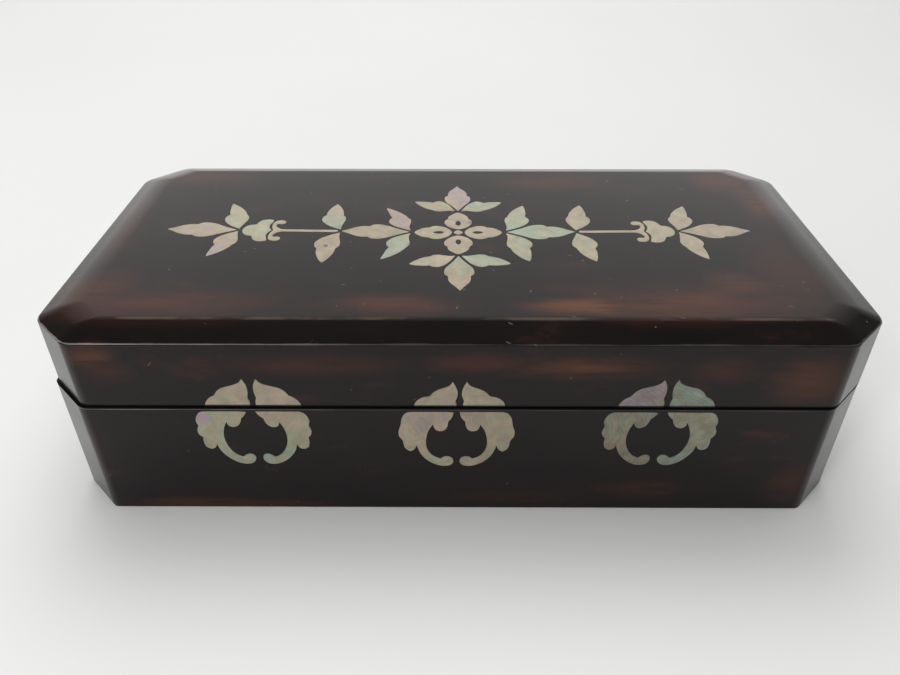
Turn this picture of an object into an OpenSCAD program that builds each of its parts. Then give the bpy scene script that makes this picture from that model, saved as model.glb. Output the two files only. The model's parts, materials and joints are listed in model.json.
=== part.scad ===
// Eight-sided wooden box with a lift-off lid and flush shell inlay, in millimetres.
// The origin is the middle of the underside, +Z is up, and the front faces -Y.
// Sides are numbered anticlockwise: 0 right, 1 back right, 2 back, 3 back left,
// 4 left, 5 front left, 6 front, 7 front right.

/* [Box] */
// Length of the box, left to right
box_l = 254; // [240:1:320]
// Depth of the box, front to back
box_w = 127; // [105:1:170]
// Length that each corner cut takes off a side
corner_cut = 13; // [9:0.5:20]
// Radius of the upright outer edges
edge_r = 1.8; // [0.5:0.1:3]
// Chamfer along the rim, the foot and the lid's lower edge
ease = 0.5; // [0.2:0.1:1]

/* [Base] */
// Height of the base walls
base_h = 43.3; // [30:0.1:70]
// Thickness of the base walls
wall_t = 7; // [5:0.5:10]
// Thickness of the bottom board
bottom_t = 5; // [3:0.5:8]
// Thickness of the bent strip that lines the base
liner_t = 2.5; // [2:0.5:4]
// Height that the liner stands above the rim
lip_h = 5; // [3:0.5:8]

/* [Lid] */
// Height of the lid's rails
rail_h = 20.2; // [15:0.1:35]
// Upright edge of the lid's top board
panel_edge = 3; // [2.5:0.1:6]
// Height of the top board's sloping border
bevel_h = 3.1; // [1.5:0.1:6]
// Width of the top board's sloping border
bevel_w = 9.3; // [6:0.1:14]
// Clearance all round between the liner and the lid's rails
lip_play = 1.2; // [1:0.1:2]
// Where the lid lies within its play, to the right
lid_dx = 0.6; // [-0.6:0.1:0.6]
// Where the lid lies within its play, to the back
lid_dy = 0.6; // [-0.6:0.1:0.6]

/* [Inlay] */
// Thickness of the shell
shell_t = 0.8; // [0.5:0.1:1.2]
// Clearance round a piece of shell in its pocket
shell_gap = 0.15; // [0.05:0.05:0.3]
// Gap between a side petal and the arm's first leaf
arm_gap = 1.6; // [1:0.1:4]
// Length of the leaf along the arm
arm_leaf_l = 24.2; // [20:0.1:28]
// Distance from an arm's tip to the top board's sloping border
end_margin = 14.8; // [4:0.1:18]
// Width of the arm's stem
stem_w = 1.6; // [1.2:0.1:2.4]
// Length of the leaf at the arm's end
end_leaf_l = 25; // [20:0.5:30]
// Upward tilt of the left arm, in degrees
arm_tilt_left = 1.2; // [0:0.1:2]
// Upward tilt of the right arm, in degrees
arm_tilt_right = 0.9; // [0:0.1:2]
// Length of a petal
petal_l = 13.2; // [11:0.1:16]
// Gap between an upright petal and the leaves beyond it
crown_gap = 1.3; // [1:0.1:4]
// Length of the upright leaves above and below the flower
crown_leaf_l = 22; // [18:0.5:26]
// Distance between the flower motifs on the front
motif_pitch = 62.5; // [56:0.5:80]
// How far the lid's half of a motif is laid to the right
upper_motif_dx = 0.3; // [0:0.1:0.5]

/* [Hidden] */

RIGHT = 1;
LEFT = -1;
UP = 1;
DOWN = -1;
rail_t = wall_t - lip_play;          // the rails clear the liner
lid_z = base_h + rail_h;             // underside of the top board
arris_z = lid_z + panel_edge;        // lower edge of the sloping border
top_z = arris_z + bevel_h;           // flat top
bevel_slope = atan2(bevel_h, bevel_w);
overcut = 0.5;                       // how far a cutter runs past a face
arc_steps = 4;                       // chords in an upright edge's arc
curve_steps = 3;                     // chords between two points of an outline
wood = "#3a2420";
lacquer = "#1d1613";
shell_warm = "#d8cdb4";
shell_green = "#c3d3c2";
shell_pink = "#d9c6c8";

// ---- plan of the box ----

// Corners of the plan, moved inward by d
function plan_corners(d) =
    let (x = box_l / 2 - d)
    let (y = box_w / 2 - d)
    let (c = corner_cut - d * (2 - sqrt(2)))
    [[x, -y + c], [x, y - c], [x - c, y], [-x + c, y],
     [-x, y - c], [-x, -y + c], [-x + c, -y], [x - c, -y]];

// Outline of the plan with an arc of edge_r on every corner
function plan_outline() =
    let (m = plan_corners(edge_r))
    [for (i = [0:7])
        let (a = 45 * i - 45)
        for (k = [0:arc_steps])
            let (t = a + 45 * k / arc_steps)
            m[i] + edge_r * [cos(t), sin(t)]];

// Middle of side i, whose outward normal points at 45 * i degrees
function side_mid(i) =
    let (p = plan_corners(0))
    (p[i] + p[(i + 1) % 8]) / 2;

// Prism of the plan's outline
module plan_prism(z, h) {
    translate([0, 0, z])
        linear_extrude(h)
            polygon(plan_outline());
}

// Prism of one mitred stave's length, from outside the box to t inside it
module mitre_wedge(i, t, z, h) {
    a = plan_corners(-1);
    b = plan_corners(t);
    j = (i + 1) % 8;
    translate([0, 0, z])
        linear_extrude(h)
            polygon([a[i], a[j], b[j], b[i]]);
}

// Cutter that eases the outer edge of side i at height z
module edge_cut(i, z) {
    translate([side_mid(i)[0], side_mid(i)[1], z])
        rotate([0, 0, 45 * i])
            rotate([0, 45, 0])
                cube([ease * sqrt(2), box_l, ease * sqrt(2)], center = true);
}

// One board of a ring of eight, mitred to its neighbours, with eased edges at the heights given
module stave(i, t, z, h, eased) {
    difference() {
        intersection() {
            plan_prism(z, h);
            mitre_wedge(i, t, z - overcut, h + 2 * overcut);
        }
        for (e = eased) {
            edge_cut(i, e);
        }
    }
}

// ---- outlines of the shell pieces ----

// Slope of an outline at point i, towards the next point or from the last one at a corner
function tangent(p, i, ahead) =
    let (n = len(p))
    let (a = p[(i + n - 1) % n])
    let (b = p[i])
    let (c = p[(i + 1) % n])
    let (ab = [b[0] - a[0], b[1] - a[1]])
    let (bc = [c[0] - b[0], c[1] - b[1]])
    let (la = norm(ab))
    let (lc = norm(bc))
    b[2] == 1 ? (ahead ? bc / lc : ab / la) : (ab / la * lc + bc / lc * la) / (la + lc);

// Closed curve through points [x, y, corner], sharp where corner is 1
function smooth(p) =
    let (n = len(p))
    [for (i = [0:n - 1])
        let (j = (i + 1) % n)
        let (a = [p[i][0], p[i][1]])
        let (b = [p[j][0], p[j][1]])
        let (l = norm(b - a))
        let (u = tangent(p, i, true) * l)
        let (v = tangent(p, j, false) * l)
        for (k = [0:curve_steps - 1])
            let (t = k / curve_steps)
            (2 * pow(t, 3) - 3 * pow(t, 2) + 1) * a + (pow(t, 3) - 2 * pow(t, 2) + t) * u
            + (3 * pow(t, 2) - 2 * pow(t, 3)) * b + (pow(t, 3) - pow(t, 2)) * v];

// Outline moved outward by d, for a pocket; the points run anticlockwise. A mitre reaches no further
// than 2 * d at a tip, and half way to the next point in a hollow corner.
function grown(p, d) =
    let (n = len(p))
    n == 0 ? [] :
    [for (i = [0:n - 1])
        let (a = p[i] - p[(i + n - 1) % n])
        let (b = p[(i + 1) % n] - p[i])
        let (na = [a[1], -a[0]] / norm(a))
        let (nb = [b[1], -b[0]] / norm(b))
        let (m = na + nb)
        let (reach = a[0] * b[1] - a[1] * b[0] < 0 ? min(norm(a), norm(b)) / 2 : 2 * abs(d))
        p[i] + m / norm(m) * min(2 * d / norm(m), reach)];

function mirrored(p) = [for (i = [len(p) - 1:-1:0]) [-p[i][0], p[i][1]]];
function flipped(p) = [for (i = [len(p) - 1:-1:0]) [p[i][0], -p[i][1]]];
function turned(p, a) = [for (q = p) [q[0] * cos(a) - q[1] * sin(a), q[0] * sin(a) + q[1] * cos(a)]];
function moved(p, d) = [for (q = p) q + d];

// Half of an outline along +X as [along, half width, corner], closed by its mirror image
function both_sides(h) =
    concat([for (q = h) [q[0], -q[1], q[2]]],
           [for (i = [len(h) - 1:-1:0]) if (h[i][1] > 0) h[i]]);

// Straight leaf along +X: a belly, a notch on each edge, then a second, narrower lobe
function straight_leaf(l, w) =
    smooth(both_sides([
        [0, 0, 1], [0.12 * l, 0.27 * w, 0], [0.22 * l, 0.52 * w, 0], [0.35 * l, 0.87 * w, 0],
        [0.47 * l, w, 0], [0.55 * l, 0.94 * w, 0], [0.6 * l, 0.74 * w, 1], [0.7 * l, 0.73 * w, 0],
        [0.8 * l, 0.56 * w, 0], [0.89 * l, 0.29 * w, 0], [l, 0, 1]]));

// Leaf along +Y, of length l and half width w, whose middle lies b to +X at the belly and t at the tip
function leaning_leaf(l, w, b, t) =
    let (h = [
        [0, 0.03, 0, 1], [0.1, 0.4, 0.5 * b, 0], [0.22, 0.76, 0.85 * b, 0], [0.38, 1, b, 0],
        [0.48, 0.93, b, 0], [0.55, 0.73, b, 1], [0.67, 0.69, 0.8 * b + 0.2 * t, 0],
        [0.8, 0.52, 0.55 * b + 0.45 * t, 0], [0.9, 0.33, 0.3 * b + 0.7 * t, 0], [1, 0.03, t, 1]])
    smooth(concat(
        [for (q = h) [q[2] + q[1] * w, q[0] * l, q[3]]],
        [for (i = [len(h) - 1:-1:0]) [h[i][2] - h[i][1] * w, h[i][0] * l, h[i][3]]]));

// Petal along +X with a round heel and a blunt tip
function petal_outline() =
    smooth(both_sides([
        [0, 0, 0], [0.08 * petal_l, 2.5, 0], [0.23 * petal_l, 4.2, 0], [0.4 * petal_l, 4.95, 0],
        [0.53 * petal_l, 4.6, 0], [0.61 * petal_l, 3.75, 1], [0.74 * petal_l, 3.5, 0],
        [0.89 * petal_l, 2.1, 0], [petal_l, 0, 0]]));

// Drop-shaped hole in a petal
function petal_hole() =
    smooth(both_sides([[2.7, 0, 1], [3.6, 0.8, 0], [4.8, 0.95, 0], [5.9, 0.6, 0], [6.7, 0, 1]]));

// Middle of the flower: a round with four shallow corners
function eye_outline() =
    [for (a = [0:15:345]) (eye_r + 0.1 * cos(4 * a)) * [cos(a), sin(a)]];

// Bud along +X: two hollows meet in a cusp behind, and two shoulders lead to a round nose
function bud_outline() =
    smooth(both_sides([
        [0, 0, 1], [1, 1.8, 0], [1.3, 4, 0], [0.7, 6.2, 0], [0.5, 7.8, 1], [2.6, 8.3, 0],
        [4.6, 7.6, 0], [5.7, 6, 0], [6.3, 4.3, 1], [8.1, 3.9, 0], [bud_l - 0.7, 2.5, 0],
        [bud_l, 0, 0]]));

// Stem along +X that ends in two hooks; their hollow back fits the bud
function stem_outline(l) =
    smooth(both_sides([
        [0, stem_w / 3, 1], [1, stem_w / 2, 1], [l - 4.5, stem_w / 2, 1], [l - 3.4, 0.9, 0],
        [l - 2, 1.6, 0], [l - 1.1, 2.8, 0], [l - 0.7, 4.1, 0], [l - 1.2, 4.8, 0],
        [l - 2.6, 4.7, 0], [l - 3.5, 5.2, 0], [l - 3.8, 6.4, 0], [l - 3.2, 7.4, 0],
        [l - 2, 7.7, 0], [l - 0.5, 7.3, 0], [l + 0.4, 6, 0], [l + 0.7, 4, 0], [l + 0.4, 1.8, 0],
        [l - hollow, 0, 1]]));

// Right-hand leaf of a motif's lid half, above the lid's lower edge
function upper_leaf(side) =
    side ?
    smooth([
        [0.9, 0.3, 1], [14.7, 0.3, 1], [14.1, 1.9, 0], [12.8, 3.5, 0], [11.2, 4.5, 1],
        [10.3, 5.9, 0], [8.6, 7.3, 0], [6.8, 7.9, 0], [4.6, 8.6, 0], [3.1, 9.4, 0],
        [2.1, 10.8, 1], [1.2, 8.8, 0], [0.9, 6.4, 0], [1.3, 3.6, 1], [0.9, 2, 0]])
    :
    smooth([
        [1, 0.3, 1], [13.9, 0.3, 1], [13.2, 2.2, 0], [11.3, 3.8, 0], [9, 4.4, 1],
        [8, 5.7, 0], [6.3, 6.9, 0], [4.4, 7.7, 0], [3, 8.5, 0],
        [2.1, 9.9, 1], [1.2, 8, 0], [0.6, 5, 0], [1.3, 2.4, 1], [1, 1.4, 0]]);

// Right-hand scroll of a motif's base half: three lobes outside, one inside, and a hooked tail
function scroll_leaf(side) =
    side ?
    smooth([
        [1.3, -1.3, 1], [2.4, -3.1, 0], [3.4, -4.1, 1], [4, -6, 0], [5.2, -7.3, 0],
        [6.5, -7.6, 0], [7.7, -6.9, 0], [8.1, -5.4, 1], [9.2, -8, 0], [9.8, -11.3, 0],
        [9.4, -14.8, 0], [8.3, -17.4, 0], [6.7, -19.3, 0], [5, -20.2, 1], [4.2, -19.4, 0],
        [2.6, -18.8, 0], [1.4, -19.6, 0], [1.3, -21.4, 0], [2.6, -22.9, 0], [4.8, -23.2, 0],
        [7.2, -22.4, 0], [9.4, -20.7, 0], [11.3, -18.3, 0], [12.1, -16.5, 0], [12.5, -14.7, 1],
        [13.3, -16.2, 0], [14.4, -16.7, 0], [15.9, -16, 0], [16.5, -14, 0], [16.4, -11.9, 1],
        [17.4, -10.6, 0], [17.6, -9, 0], [17, -7, 1], [17.4, -5.4, 0], [17, -3.5, 0],
        [15.9, -1.9, 0], [14.7, -1.3, 1]])
    :
    smooth([
        [0.9, -1.3, 1], [1.3, -3.2, 0], [2.6, -5.2, 1], [2.9, -7.2, 0], [3.7, -8.6, 0],
        [5, -9.1, 0], [6.4, -8.6, 0], [7.3, -6.4, 1], [8.6, -8.7, 0], [9.4, -12, 0],
        [9.5, -15, 0], [8.9, -17.3, 0], [7.6, -19.3, 0], [5, -20.8, 1], [4.1, -20, 0],
        [2.8, -19.7, 0], [1.5, -20.4, 0], [1, -22, 0], [1.8, -23.4, 0], [3.7, -23.9, 0],
        [7, -23, 0], [9.5, -21.1, 0], [11.2, -18.8, 0], [12, -16.8, 0], [12.5, -15, 1],
        [13.3, -16.8, 0], [14.4, -17.5, 0], [15.9, -16.5, 0], [16.6, -14.2, 0], [16.8, -12.9, 1],
        [17.8, -11.3, 0], [18, -9.6, 0], [17.3, -7, 0], [17, -5, 0], [16.5, -3.2, 0],
        [15.5, -1.8, 0], [14, -1.3, 1]]);

// ---- places of the shell pieces ----

eye_r = 1.5;
side_gap = 0.7;                      // between the eye and a side petal
upright_gap = 0.9;                   // between the eye and an upright petal
crown_y = eye_r + upright_gap + petal_l + crown_gap;
crown_w = 4.9;                       // half width of the upright leaf in a crown
crown_x = 1.2;                       // where the leaf beside it starts
arm_start = eye_r + side_gap + petal_l + arm_gap;
arm_leaf_w = 5.4;                    // half width of the leaves along an arm
joint_gap = 1.2;                     // between the pieces that follow one another along an arm
bud_gap = 0.6;                       // between the stem's hollow back and the bud
bud_l = 10.3;
nose_gap = 1.8;                      // between the bud's nose and the end leaf
hollow = 0.3;                        // depth of the cusp in the stem's back
stem_x = arm_start + arm_leaf_l + joint_gap;
stem_l = box_l / 2 - bevel_w - end_margin - end_leaf_l - nose_gap - bud_l - bud_gap + hollow - stem_x;
bud_x = stem_x + stem_l - hollow + bud_gap;
end_x = bud_x + bud_l + nose_gap;
pair_x = [arm_start - 0.2, arm_start + arm_leaf_l + 0.3, end_x - 0.4];
pair_gap = [1.1, 1.2, 0.9];
// How each side leaf was cut: length, half width, belly shift and tip shift, all within a millimetre
// or two of one pattern. Per pair: left upper, left lower, right upper, right lower.
pair_cuts = [
    [[17.6, 4, 4.1, 9.5], [18.7, 4, 3.9, 9], [19.9, 4.4, 4.3, 7.2], [19.6, 4.4, 4.1, 6.6]],
    [[20.3, 4.3, 3.4, 3.5], [21.2, 4.4, 3.4, 3.5], [19.8, 4.4, 1.7, 3.7], [19.8, 4.3, 1.7, 3.9]],
    [[20, 4.3, 2.6, 6.7], [18.2, 4.1, 2.7, 6.5], [18.9, 4.3, 2.6, 6.1], [19.1, 3.9, 2.6, 5.3]]];
// The same for the leaves beside the crowns: left upper, left lower, right upper, right lower
crown_cuts = [[15, 4.3, 4, 7.7], [15, 4.1, 3.3, 5.4], [15.1, 4.3, 3.8, 7.3], [15.9, 4.1, 3.1, 5.1]];

// An outline of the right arm, raised along its tilt and, on the left, mirrored
function on_arm(p, side) =
    let (rise = tan(side == RIGHT ? arm_tilt_right : arm_tilt_left))
    let (raised = [for (q = p) [q[0], q[1] + rise * q[0]]])
    side == RIGHT ? raised : mirrored(raised);

// Which cut of a leaf is meant, by its side and way
function cut_of(cuts, side, way) = cuts[(side == RIGHT ? 2 : 0) + (way == UP ? 0 : 1)];

// The leaf of pair k, above or below the arm
function pair_leaf(k, side, way) =
    let (c = cut_of(pair_cuts[k], side, way))
    let (leaf = moved(leaning_leaf(c[0], c[1], c[2], c[3]), [pair_x[k], pair_gap[k]]))
    on_arm(way == UP ? leaf : flipped(leaf), side);

// A leaf beside the upright one, above or below the flower
function crown_leaf(side, way) =
    let (c = cut_of(crown_cuts, side, way))
    let (leaf = moved(flipped(turned(leaning_leaf(c[0], c[1], c[2], c[3]), -90)), [crown_x, crown_y]))
    let (right = way == UP ? leaf : flipped(leaf))
    side == RIGHT ? right : mirrored(right);

// A petal's outline or hole, to the right of the flower's eye and above it
function side_petal(p) = moved(p, [eye_r + side_gap, 0]);
function upright_petal(p) = turned(moved(p, [eye_r + upright_gap, 0]), 90);

// Every piece in the lid's top, as [name, outline, colour]
function top_pieces() = concat(
    [["flower_eye", eye_outline(), shell_warm],
     ["petal_right", side_petal(petal_outline()), shell_warm],
     ["petal_left", mirrored(side_petal(petal_outline())), shell_warm],
     ["petal_top", upright_petal(petal_outline()), shell_warm],
     ["petal_bottom", flipped(upright_petal(petal_outline())), shell_warm],
     ["crown_top_mid", moved(turned(straight_leaf(crown_leaf_l, crown_w), 91), [0, crown_y]), shell_pink],
     ["crown_bottom_mid", moved(turned(straight_leaf(crown_leaf_l, crown_w), -89), [0, -crown_y]),
      shell_green],
     ["crown_top_left", crown_leaf(LEFT, UP), shell_warm],
     ["crown_top_right", crown_leaf(RIGHT, UP), shell_green],
     ["crown_bottom_left", crown_leaf(LEFT, DOWN), shell_warm],
     ["crown_bottom_right", crown_leaf(RIGHT, DOWN), shell_green]],
    [for (s = [LEFT, RIGHT])
        let (tag = s == LEFT ? "_left" : "_right")
        each [
            [str("arm_leaf", tag), on_arm(moved(straight_leaf(arm_leaf_l, arm_leaf_w), [arm_start, 0]), s),
             s == LEFT ? shell_warm : shell_green],
            [str("stem", tag), on_arm(moved(stem_outline(stem_l), [stem_x, 0]), s), shell_pink],
            [str("bud", tag), on_arm(moved(bud_outline(), [bud_x, 0]), s), shell_warm],
            [str("end_leaf", tag), on_arm(moved(straight_leaf(end_leaf_l, arm_leaf_w), [end_x, 0]), s),
             shell_pink],
            [str("near_up", tag), pair_leaf(0, s, UP), s == LEFT ? shell_pink : shell_green],
            [str("near_down", tag), pair_leaf(0, s, DOWN), shell_green],
            [str("mid_up", tag), pair_leaf(1, s, UP), s == LEFT ? shell_green : shell_warm],
            [str("mid_down", tag), pair_leaf(1, s, DOWN), s == LEFT ? shell_warm : shell_green],
            [str("far_up", tag), pair_leaf(2, s, UP), s == LEFT ? shell_green : shell_warm],
            [str("far_down", tag), pair_leaf(2, s, DOWN), shell_warm]]]);

// The four petals' holes: where each hole lies, by petal name
function hole_outline(name) =
    name == "petal_right" ? side_petal(petal_hole()) :
    name == "petal_left" ? mirrored(side_petal(petal_hole())) :
    name == "petal_top" ? upright_petal(petal_hole()) :
    name == "petal_bottom" ? flipped(upright_petal(petal_hole())) : [];

// ---- boards ----

module base_bottom() {
    color(wood)
        linear_extrude(bottom_t)
            polygon(plan_corners(wall_t));
}

module base_liner() {
    color(lacquer)
        translate([0, 0, bottom_t])
            linear_extrude(base_h + lip_h - bottom_t)
                difference() {
                    polygon(plan_corners(wall_t));
                    polygon(plan_corners(wall_t + liner_t));
                }
}

module base_stave(i) {
    color(lacquer)
        difference() {
            stave(i, wall_t, 0, base_h, [0, base_h]);
            if (i == 6) {
                for (m = [-1:1], s = [LEFT, RIGHT]) {
                    scroll_pocket(m, s);
                }
            }
        }
}

module lid_stave(i) {
    color(lacquer)
        translate([lid_dx, lid_dy, 0])
            difference() {
                stave(i, rail_t, base_h, rail_h, [base_h]);
                if (i == 6) {
                    for (m = [-1:1], s = [LEFT, RIGHT]) {
                        upper_pocket(m, s);
                    }
                }
            }
}

// Cutter that slopes the top board down to side i
module bevel_cut(i) {
    translate([side_mid(i)[0], side_mid(i)[1], arris_z])
        rotate([0, 0, 45 * i])
            rotate([0, bevel_slope, 0])
                translate([-2 * bevel_w, -box_l, 0])
                    cube([4 * bevel_w, 2 * box_l, 4 * bevel_h]);
}

module lid_panel() {
    color(lacquer)
        translate([lid_dx, lid_dy, 0])
            difference() {
                plan_prism(lid_z, panel_edge + bevel_h);
                for (i = [0:7]) {
                    bevel_cut(i);
                }
                for (p = top_pieces()) {
                    top_pocket(p[1], hole_outline(p[0]));
                }
            }
}

// ---- shell ----

// Shell plate of an outline, with a hole if one is given
module plate(outline, hole, h) {
    linear_extrude(h)
        difference() {
            polygon(outline);
            if (len(hole) > 0) {
                polygon(hole);
            }
        }
}

module top_pocket(outline, hole) {
    translate([0, 0, top_z - shell_t])
        plate(grown(outline, shell_gap), grown(hole, -shell_gap), shell_t + overcut);
}

module top_piece(p) {
    color(p[2])
        translate([lid_dx, lid_dy, top_z - shell_t])
            plate(p[1], hole_outline(p[0]), shell_t);
}

// Stands a plate up in the front face, its back shell_t deep in the wall
module stand_in_front(z) {
    translate([0, -box_w / 2 + shell_t, z])
        rotate([90, 0, 0])
            children();
}

// Outline of one side of motif m, placed along the front
function in_motif(p, m, s, dx) = moved(s == RIGHT ? p : mirrored(p), [m * motif_pitch + dx, 0]);

function upper_outline(m, s) = in_motif(upper_leaf(m != 0), m, s, upper_motif_dx);
function scroll_outline(m, s) = in_motif(scroll_leaf(m != 0), m, s, 0);

module upper_pocket(m, s) {
    stand_in_front(base_h)
        plate(grown(upper_outline(m, s), shell_gap), [], shell_t + overcut);
}

module scroll_pocket(m, s) {
    stand_in_front(base_h)
        plate(grown(scroll_outline(m, s), shell_gap), [], shell_t + overcut);
}

module upper_motif(m) {
    color(shell_pink)
        translate([lid_dx, lid_dy, 0])
            stand_in_front(base_h)
                for (s = [LEFT, RIGHT]) {
                    plate(upper_outline(m, s), [], shell_t);
                }
}

module scroll(m, s) {
    color(shell_green)
        stand_in_front(base_h)
            plate(scroll_outline(m, s), [], shell_t);
}

// ---- nodes ----

base_bottom();
base_liner();
base_stave(6);  // base_wall_front
base_stave(2);  // base_wall_back
base_stave(4);  // base_wall_left
base_stave(0);  // base_wall_right
base_stave(5);  // base_corner_fl
base_stave(7);  // base_corner_fr
base_stave(3);  // base_corner_bl
base_stave(1);  // base_corner_br
lid_panel();
lid_stave(6);  // lid_rail_front
lid_stave(2);  // lid_rail_back
lid_stave(4);  // lid_rail_left
lid_stave(0);  // lid_rail_right
lid_stave(5);  // lid_corner_fl
lid_stave(7);  // lid_corner_fr
lid_stave(3);  // lid_corner_bl
lid_stave(1);  // lid_corner_br
for (p = top_pieces()) top_piece(p);
upper_motif(-1);  // upper_motif_left
upper_motif(0);  // upper_motif_mid
upper_motif(1);  // upper_motif_right
scroll(-1, LEFT);  // scroll_left_a
scroll(-1, RIGHT);  // scroll_left_b
scroll(0, LEFT);  // scroll_mid_a
scroll(0, RIGHT);  // scroll_mid_b
scroll(1, LEFT);  // scroll_right_a
scroll(1, RIGHT);  // scroll_right_b
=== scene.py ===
# %% [markdown]
# # An eight-sided lacquer box with shell inlay
# The box has a base, a lift-off lid and 43 flat pieces of shell let flush into dark lacquer. This
# lesson loads the measured model, then builds each visible skin in the same place, a little finer:
# rounded arrises, real pockets round the shell, and finishes that are made from nodes alone.

# %% Load the measured model
import json
import math
import random

import bmesh
import bpy
from mathutils import Matrix, Vector


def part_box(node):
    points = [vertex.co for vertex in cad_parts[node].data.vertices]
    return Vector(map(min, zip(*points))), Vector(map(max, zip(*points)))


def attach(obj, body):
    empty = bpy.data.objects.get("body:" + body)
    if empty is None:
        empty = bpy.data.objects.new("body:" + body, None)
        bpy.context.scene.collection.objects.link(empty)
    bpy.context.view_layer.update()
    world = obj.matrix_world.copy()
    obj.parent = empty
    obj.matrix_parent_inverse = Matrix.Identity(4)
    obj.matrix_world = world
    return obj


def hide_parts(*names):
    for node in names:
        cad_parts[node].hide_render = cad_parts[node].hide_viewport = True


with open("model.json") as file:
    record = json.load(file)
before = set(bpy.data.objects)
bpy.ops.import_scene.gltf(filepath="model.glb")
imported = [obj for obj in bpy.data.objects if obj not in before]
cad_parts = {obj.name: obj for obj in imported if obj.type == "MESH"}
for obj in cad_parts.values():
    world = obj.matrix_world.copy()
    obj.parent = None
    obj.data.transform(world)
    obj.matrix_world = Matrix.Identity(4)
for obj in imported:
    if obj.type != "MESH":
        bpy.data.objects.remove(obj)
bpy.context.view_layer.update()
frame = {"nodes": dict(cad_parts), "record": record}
scene = bpy.context.scene

# %% [markdown]
# The main sizes are read from the model. The rest are the maker's own sizes, such as the width of
# the lid's sloping border. Outlines are easier to think about in millimetres, so they are drawn in
# millimetres and scaled when the mesh is made.

# %% Sizes
MM = 0.001
HALF_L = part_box("base_wall_right")[1].x / MM
HALF_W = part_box("base_wall_back")[1].y / MM
RIM_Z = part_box("base_wall_front")[1].z / MM
LID_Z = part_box("lid_rail_front")[1].z / MM
TOP_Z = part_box("lid_panel")[1].z / MM
LINER_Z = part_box("base_liner")[1].z / MM
BOTTOM_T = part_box("base_bottom")[1].z / MM
LID_SHIFT = Vector((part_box("lid_panel")[0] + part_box("lid_panel")[1]).xy) / 2 / MM
CORNER_CUT = 13.0
WALL_T = 7.0
LINER_T = 2.5
RAIL_T = 5.8
BEVEL_W = 9.3
BEVEL_H = 3.1
ARRIS_Z = TOP_Z - BEVEL_H
SHELL_T = 0.8
GAP = 0.15
print("half length and width", HALF_L, HALF_W, "rim", RIM_Z, "top", TOP_Z, "lid shift", LID_SHIFT)

# %% [markdown]
# ## From outlines to meshes
# Every board starts as the same eight-sided face. `bmesh.ops` then extrudes and insets it. A small
# helper makes the object, and another applies its modifiers, because the finished piece should be
# a plain mesh that sits at the origin.

# %% The plan and its pieces


def plan_corners(d):
    """Corners of the plan, moved inward by d."""
    x, y = HALF_L - d, HALF_W - d
    c = CORNER_CUT - d * (2 - math.sqrt(2))
    return [(x, -y + c), (x, y - c), (x - c, y), (-x + c, y),
            (-x, y - c), (-x, -y + c), (-x + c, -y), (x - c, -y)]


def plan_face(bm, d, z):
    """The eight-sided face at height z, facing up."""
    face = bm.faces.new([bm.verts.new((x, y, z)) for x, y in plan_corners(d)])
    face.normal_update()
    return face


def extrude(bm, faces, offset):
    """Extrudes faces along offset and gives back the new caps."""
    made = bmesh.ops.extrude_face_region(bm, geom=faces)["geom"]
    bmesh.ops.translate(bm, vec=offset, verts=[v for v in made if isinstance(v, bmesh.types.BMVert)])
    return [f for f in made if isinstance(f, bmesh.types.BMFace)]


def new_piece(name, bm, shift=(0, 0, 0)):
    """A mesh object from bm, which is in millimetres."""
    bmesh.ops.recalc_face_normals(bm, faces=bm.faces)
    bmesh.ops.translate(bm, vec=shift, verts=bm.verts)
    bmesh.ops.scale(bm, vec=(MM, MM, MM), verts=bm.verts)
    mesh = bpy.data.meshes.new(name)
    bm.to_mesh(mesh)
    bm.free()
    piece = bpy.data.objects.new(name, mesh)
    scene.collection.objects.link(piece)
    return piece


print("the plan has", len(plan_corners(0)), "corners, the first at", plan_corners(0)[0])

# %% Modifiers, shading and rounded edges


def apply_modifiers(piece):
    """Turns a piece's modifiers into its mesh."""
    seen = piece.evaluated_get(bpy.context.evaluated_depsgraph_get())
    mesh = bpy.data.meshes.new_from_object(seen)
    piece.modifiers.clear()
    piece.data = mesh
    mesh.name = piece.name


def shade(piece, angle=32):
    """Smooth shading that stays flat on the flat faces."""
    piece.data.shade_smooth()
    piece.data.set_sharp_from_angle(angle=math.radians(angle))
    weighted = piece.modifiers.new("even shading", "WEIGHTED_NORMAL")
    weighted.keep_sharp = True
    apply_modifiers(piece)


def weigh_edges(bm, rules):
    """Sets each edge's bevel weight by the first rule (test, weight) that it passes."""
    layer = bm.edges.layers.float.new("bevel_weight_edge")
    for e in bm.edges:
        a, b = e.verts[0].co, e.verts[1].co
        for test, weight in rules:
            if test(a, b):
                e[layer] = weight
                break


def round_edges(piece, width=1.2, segments=6):
    """Rounds the weighted edges; a weight of 1 is the full width in millimetres."""
    bevel = piece.modifiers.new("rounded edges", "BEVEL")
    bevel.limit_method = "WEIGHT"
    bevel.width = width * MM
    bevel.segments = segments
    bevel.profile = 0.5
    apply_modifiers(piece)


# %% [markdown]
# ## Outlines of the shell
# A shell cutter saws each leaf with a fine blade, so an outline is a few chosen points with a smooth
# curve through them, and a sharp corner where the saw turned. The curve through the points is a
# Hermite curve whose slopes follow the neighbouring chords.

# %% Curves through points
CURVE_STEPS = 6


def slope(p, i, ahead):
    """Direction of the curve at point i; a corner has one on each side."""
    a, b, c = (Vector(p[k % len(p)][:2]) for k in (i - 1, i, i + 1))
    before, after = b - a, c - b
    if p[i][2:] == (1,):
        return (after if ahead else before).normalized()
    lb, la = before.length, after.length
    return (before / lb * la + after / la * lb) / (lb + la)


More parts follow.
